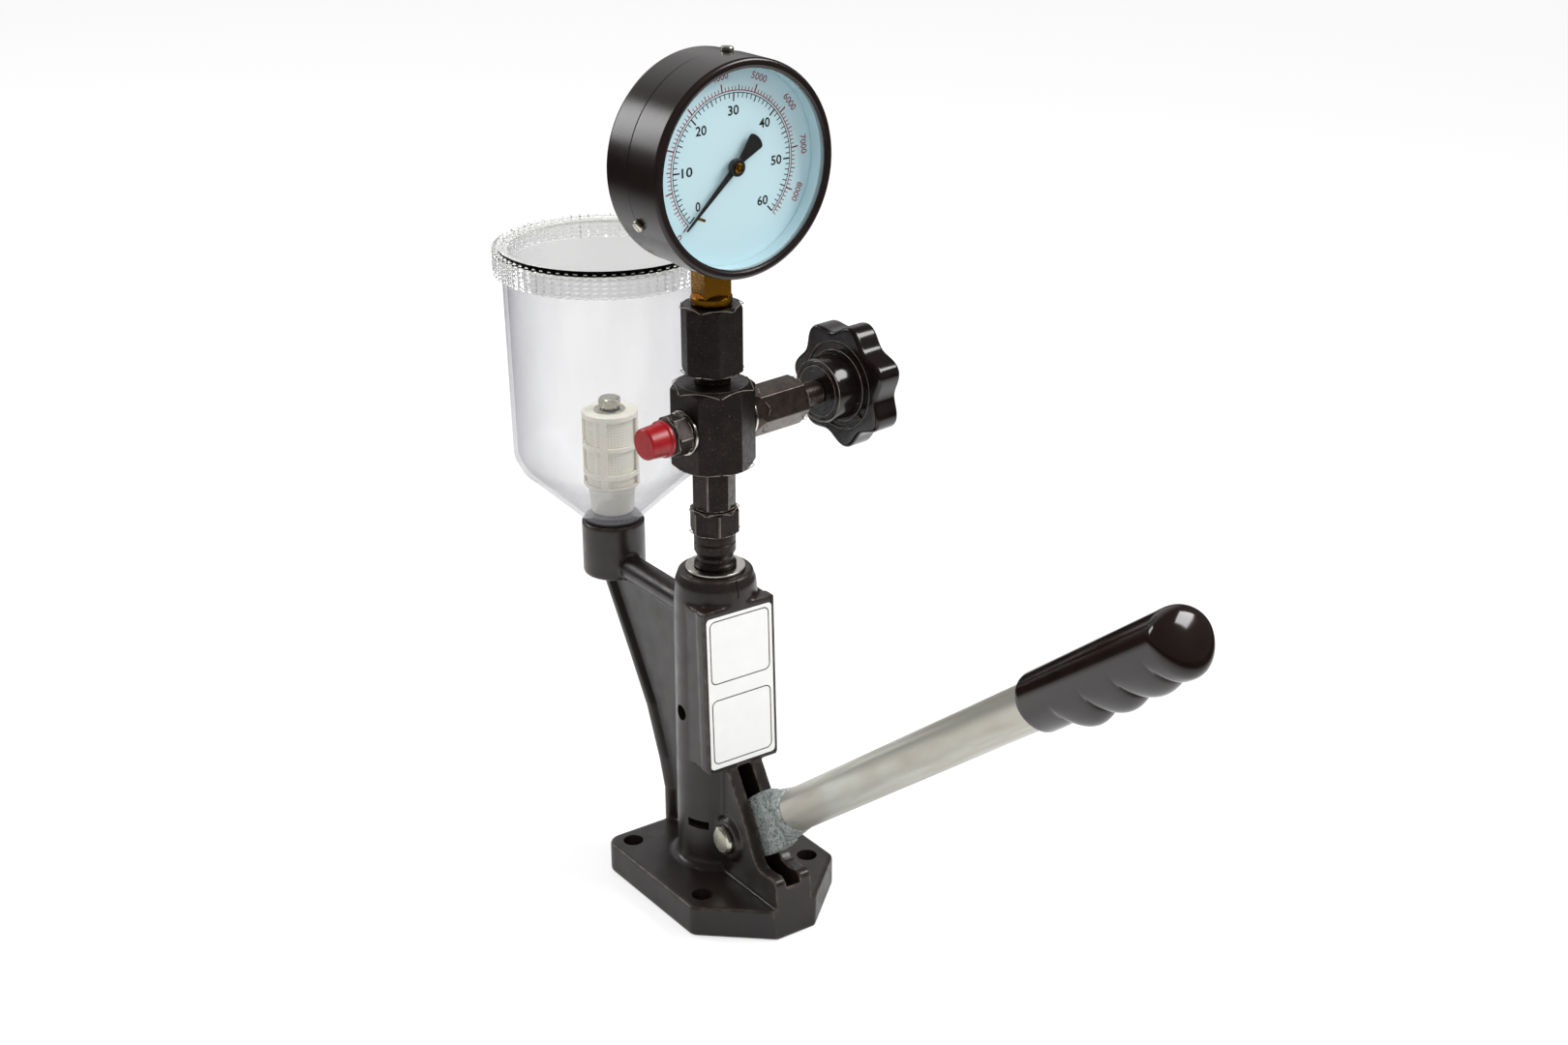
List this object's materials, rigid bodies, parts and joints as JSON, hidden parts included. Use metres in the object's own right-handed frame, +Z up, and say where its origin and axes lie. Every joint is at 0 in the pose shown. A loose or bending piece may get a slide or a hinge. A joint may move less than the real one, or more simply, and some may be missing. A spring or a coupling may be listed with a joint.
{
  "type": "diesel injector tester",
  "caption": "Hand-lever diesel injector tester: cast stand with pump column, shut-off valve with lobed knob, round pressure gauge and clear screw-lid fuel container.",
  "frame": {"origin": "the pump column's axis where it meets the foot plate's bottom face", "axes": "+Z up the pump column; -Y towards the hand lever and the front of the gauge; +X towards the valve knob; the outlet is on -X and the fuel container on +Y"},
  "size_m": [0.1553, 0.48, 0.4328],
  "materials": {
    "coated_casting": "satin black stoving coat",
    "black_oxide_steel": "black oxide, turned",
    "ground_steel": "bright ground",
    "zinc_plated_steel": "satin zinc plate",
    "rough_zinc": "galvanised, speckled",
    "brass": "machined",
    "copper": "soft, dull",
    "spring_steel": "dark drawn wire",
    "black_enamel": "gloss black enamel",
    "dial_paint": "matt pale blue",
    "glass": "clear",
    "pointer_paint": "black lacquer",
    "black_plastic": "gloss black moulding",
    "red_plastic": "soft red moulding",
    "black_rubber": "matt",
    "clear_plastic": "clear moulding",
    "ivory_plastic": "ivory moulding",
    "filter_gauze": "fine woven gauze"
  },
  "bodies": {
    "stand": {"pump_body": "coated_casting", "top_washer": "ground_steel", "pump_barrel": "ground_steel", "return_spring": "spring_steel", "delivery_valve_seat": "ground_steel", "delivery_valve_spring": "spring_steel", "seat_seal": "copper", "delivery_valve_holder": "black_oxide_steel", "lock_nut": "black_oxide_steel", "riser": "black_oxide_steel", "valve_block": "black_oxide_steel", "outlet_washer": "ground_steel", "outlet_connector": "black_oxide_steel", "outlet_gasket": "black_rubber", "gland_washer": "ground_steel", "valve_gland": "black_oxide_steel", "gland_packing": "black_rubber", "coupler_nipple": "black_oxide_steel", "gauge_coupler": "black_oxide_steel", "gauge_seal": "copper", "gauge_stem": "brass", "gauge_case": "black_enamel", "gauge_bezel": "black_enamel", "gauge_glass": "glass", "dial_ring": "dial_paint", "gauge_dial": "dial_paint", "zero_stop_pin": "brass", "movement_frame": "brass", "bourdon_tube": "copper", "bezel_screw_1": "zinc_plated_steel", "bezel_screw_2": "zinc_plated_steel", "bezel_screw_3": "zinc_plated_steel", "pivot_pin": "zinc_plated_steel", "pivot_clip": "spring_steel", "bowl_seal": "black_rubber", "container_bowl": "clear_plastic", "strainer_frame": "ivory_plastic", "strainer_mesh": "filter_gauze", "bolt_washer": "zinc_plated_steel", "strainer_bolt": "zinc_plated_steel"},
    "lever": {"lever_head": "rough_zinc", "lever_tube": "zinc_plated_steel", "lever_grip": "black_plastic"},
    "plunger_set": {"plunger": "ground_steel", "tappet": "ground_steel"},
    "delivery_valve_body": {"delivery_valve": "ground_steel"},
    "needle": {"valve_needle": "ground_steel"},
    "spindle": {"valve_spindle": "ground_steel", "valve_knob": "black_plastic"},
    "sector": {"sector_gear": "brass"},
    "link": {"bourdon_link": "brass"},
    "pointer_set": {"pointer": "pointer_paint", "pointer_arbor": "brass"},
    "lid_seal": {"lid_gasket": "black_rubber"},
    "lid": {"container_lid": "clear_plastic"},
    "cap": {"dust_cap": "red_plastic"}
  },
  "joints": [
    {"name": "lever_pivot", "type": "hinge", "parent": "stand", "child": "lever", "pos_m": [0, -0.025, 0.0378], "axis": [1, 0, 0], "range_deg": [0, 32.09], "stiffness_Nm_per_rad": 3, "springref_deg": -45.84},
    {"name": "plunger_slide", "type": "slide", "parent": "stand", "child": "plunger_set", "axis": [0, 0, 1], "range_m": [0, 0.01438], "deforming": ["return_spring"]},
    {"name": "delivery_valve_lift", "type": "slide", "parent": "stand", "child": "delivery_valve_body", "axis": [0, 0, 1], "range_m": [0, 0.002], "stiffness_N_per_m": 2000, "springref_m": -0.004, "deforming": ["delivery_valve_spring"]},
    {"name": "valve_travel", "type": "slide", "parent": "stand", "child": "needle", "axis": [0.9929, 0.1193, 0], "range_m": [0, 0.003]},
    {"name": "valve_turn", "type": "hinge", "parent": "needle", "child": "spindle", "pos_m": [0, 0, 0.2512], "axis": [0.9929, 0.1193, 0], "range_deg": [0, 720]},
    {"name": "sector_turn", "type": "hinge", "parent": "stand", "child": "sector", "pos_m": [0, 0, 0.3634], "axis": [0.0558, -0.9984, 0], "range_deg": [0, 54], "stiffness_Nm_per_rad": 0.02, "springref_deg": -17.19},
    {"name": "pointer_turn", "type": "hinge", "parent": "stand", "child": "pointer_set", "pos_m": [0, 0, 0.3802], "axis": [0.0558, -0.9984, 0], "range_deg": [-270, 0]},
    {"name": "link_turn", "type": "hinge", "parent": "sector", "child": "link", "pos_m": [0.00657, 0.00037, 0.36101], "axis": [0.0558, -0.9984, 0], "range_deg": [-54, 0]},
    {"name": "lid_lift", "type": "slide", "parent": "stand", "child": "lid_seal", "axis": [0, 0, 1], "range_m": [0, 0.014]},
    {"name": "lid_turn", "type": "hinge", "parent": "lid_seal", "child": "lid", "pos_m": [0, 0.0964, 0.3125], "axis": [0, 0, 1], "range_deg": [0, 720]},
    {"name": "dust_cap_pull", "type": "slide", "parent": "stand", "child": "cap", "axis": [-0.9929, -0.1193, 0], "range_m": [0, 0.02]}
  ],
  "couplings": [
    {"joint": "plunger_slide", "follows": "lever_pivot", "m_per_rad": 0.025674},
    {"joint": "valve_travel", "follows": "valve_turn", "m_per_rad": 0.00023873},
    {"joint": "pointer_turn", "follows": "sector_turn", "ratio": -5},
    {"joint": "link_turn", "follows": "sector_turn", "ratio": -1},
    {"joint": "lid_lift", "follows": "lid_turn", "m_per_rad": 0.0011141}
  ]
}
